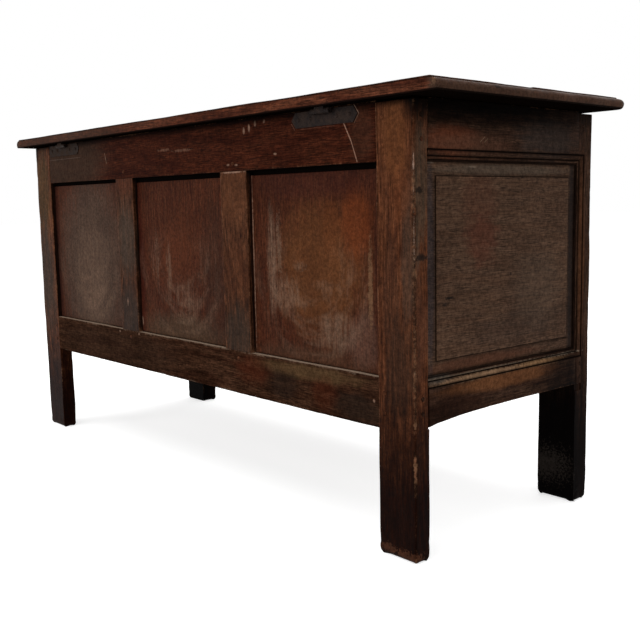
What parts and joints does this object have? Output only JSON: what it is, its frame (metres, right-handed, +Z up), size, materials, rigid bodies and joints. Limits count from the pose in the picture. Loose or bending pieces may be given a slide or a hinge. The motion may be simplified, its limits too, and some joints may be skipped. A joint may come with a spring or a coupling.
{
  "type": "blanket chest",
  "caption": "Panelled oak coffer on tall stile legs, with pegged joints, fielded panels and a plain moulded lid on iron strap hinges.",
  "frame": {"origin": "on the floor, under the middle of the whole chest with its lid", "axes": "+X along the length, towards the right end as seen from the front; -Y out of the front, so the hinges are at +Y; +Z up"},
  "size_m": [1.428, 0.487, 0.7213],
  "materials": {
    "oak_frame": "old waxed oak, rubbed bare on its edges",
    "oak_panel": "old waxed oak, dusty and scuffed",
    "oak_lid": "old waxed oak, polished by use",
    "oak_bottom": "dry unfinished oak",
    "wrought_iron": "dull rust-brown wrought iron"
  },
  "bodies": {
    "carcass": {"rear_left_stile": "oak_frame", "rear_right_stile": "oak_frame", "rear_top_rail": "oak_frame", "rear_bottom_rail": "oak_frame", "rear_left_muntin": "oak_frame", "rear_right_muntin": "oak_frame", "rear_left_panel": "oak_panel", "rear_middle_panel": "oak_panel", "rear_right_panel": "oak_panel", "front_left_stile": "oak_frame", "front_right_stile": "oak_frame", "front_top_rail": "oak_frame", "front_bottom_rail": "oak_frame", "front_left_muntin": "oak_frame", "front_right_muntin": "oak_frame", "front_left_panel": "oak_panel", "front_middle_panel": "oak_panel", "front_right_panel": "oak_panel", "left_end_top_rail": "oak_frame", "left_end_bottom_rail": "oak_frame", "left_end_panel": "oak_panel", "right_end_top_rail": "oak_frame", "right_end_bottom_rail": "oak_frame", "right_end_panel": "oak_panel", "bottom_board_1": "oak_bottom", "bottom_board_2": "oak_bottom", "bottom_board_3": "oak_bottom", "bottom_board_4": "oak_bottom", "bottom_board_5": "oak_bottom", "bottom_board_6": "oak_bottom", "left_hinge_plate": "wrought_iron", "left_hinge_pin": "wrought_iron", "left_plate_nail_1": "wrought_iron", "left_plate_nail_2": "wrought_iron", "left_plate_nail_3": "wrought_iron", "left_plate_nail_4": "wrought_iron", "right_hinge_plate": "wrought_iron", "right_hinge_pin": "wrought_iron", "right_plate_nail_1": "wrought_iron", "right_plate_nail_2": "wrought_iron", "right_plate_nail_3": "wrought_iron", "right_plate_nail_4": "wrought_iron", "lock_case": "wrought_iron", "escutcheon": "wrought_iron"},
    "lid": {"lid_rear_board": "oak_lid", "lid_front_board": "oak_lid", "left_lid_strap": "wrought_iron", "left_strap_nail_1": "wrought_iron", "left_strap_nail_2": "wrought_iron", "left_strap_nail_3": "wrought_iron", "right_lid_strap": "wrought_iron", "right_strap_nail_1": "wrought_iron", "right_strap_nail_2": "wrought_iron", "right_strap_nail_3": "wrought_iron", "lid_staple": "wrought_iron"},
    "bolt": {"lock_bolt": "wrought_iron"}
  },
  "joints": [
    {"name": "lid_hinge", "type": "hinge", "parent": "carcass", "child": "lid", "pos_m": [0, 0.2297, 0.6943], "axis": [-1, 0, 0], "range_deg": [0, 100]},
    {"name": "bolt_slide", "type": "slide", "parent": "carcass", "child": "bolt", "axis": [1, 0, 0], "range_m": [0, 0.012]}
  ]
}
